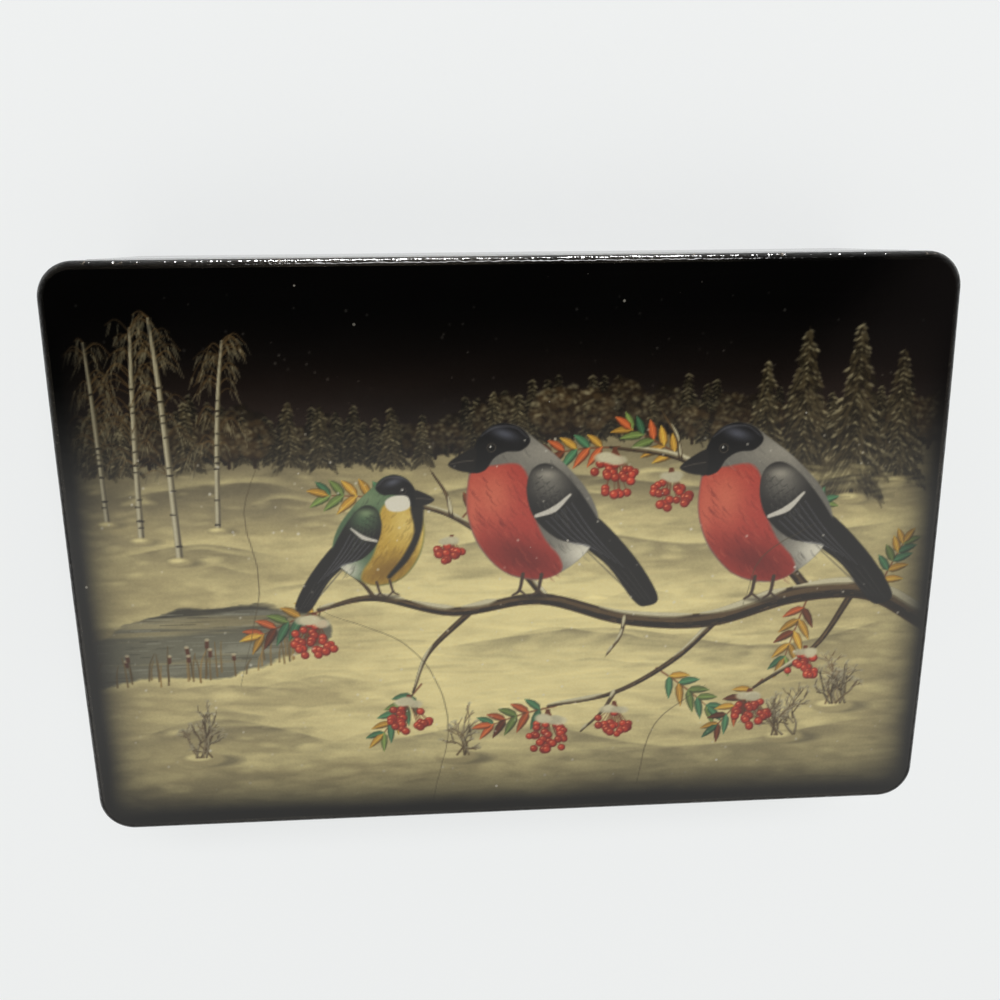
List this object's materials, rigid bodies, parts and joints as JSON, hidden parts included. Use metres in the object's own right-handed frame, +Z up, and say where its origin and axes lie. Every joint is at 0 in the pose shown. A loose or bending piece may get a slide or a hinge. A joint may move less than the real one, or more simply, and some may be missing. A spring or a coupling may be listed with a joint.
{
  "type": "lacquer box",
  "caption": "Rectangular papier-mache box with rounded corners, an arched painted lid that seats over an inner lip, and a knuckled hinge sunk in a groove along the back.",
  "frame": {"origin": "centre of the box's outline, on the floor it stands on", "axes": "+X along the length, +Y to the hinge at the back, +Z up through the lid"},
  "size_m": [0.2, 0.134, 0.055],
  "materials": {
    "black_lacquer": "gloss",
    "red_lacquer": "gloss",
    "painted_lacquer": "gloss",
    "hinge_metal": "satin"
  },
  "bodies": {
    "box": {"side_wall": "black_lacquer", "bottom_panel": "red_lacquer", "inner_lip": "red_lacquer", "hinge_body_leaf": "hinge_metal", "hinge_pin": "hinge_metal", "body_leaf_rivets": "hinge_metal"},
    "lid": {"lid_panel": "painted_lacquer", "lid_rim": "black_lacquer", "hinge_lid_leaf": "hinge_metal", "lid_leaf_rivets": "hinge_metal"}
  },
  "joints": [
    {"name": "lid_hinge", "type": "hinge", "parent": "box", "child": "lid", "pos_m": [0, 0.0656, 0.0433], "axis": [-1, 0, 0], "range_deg": [0, 100]}
  ]
}
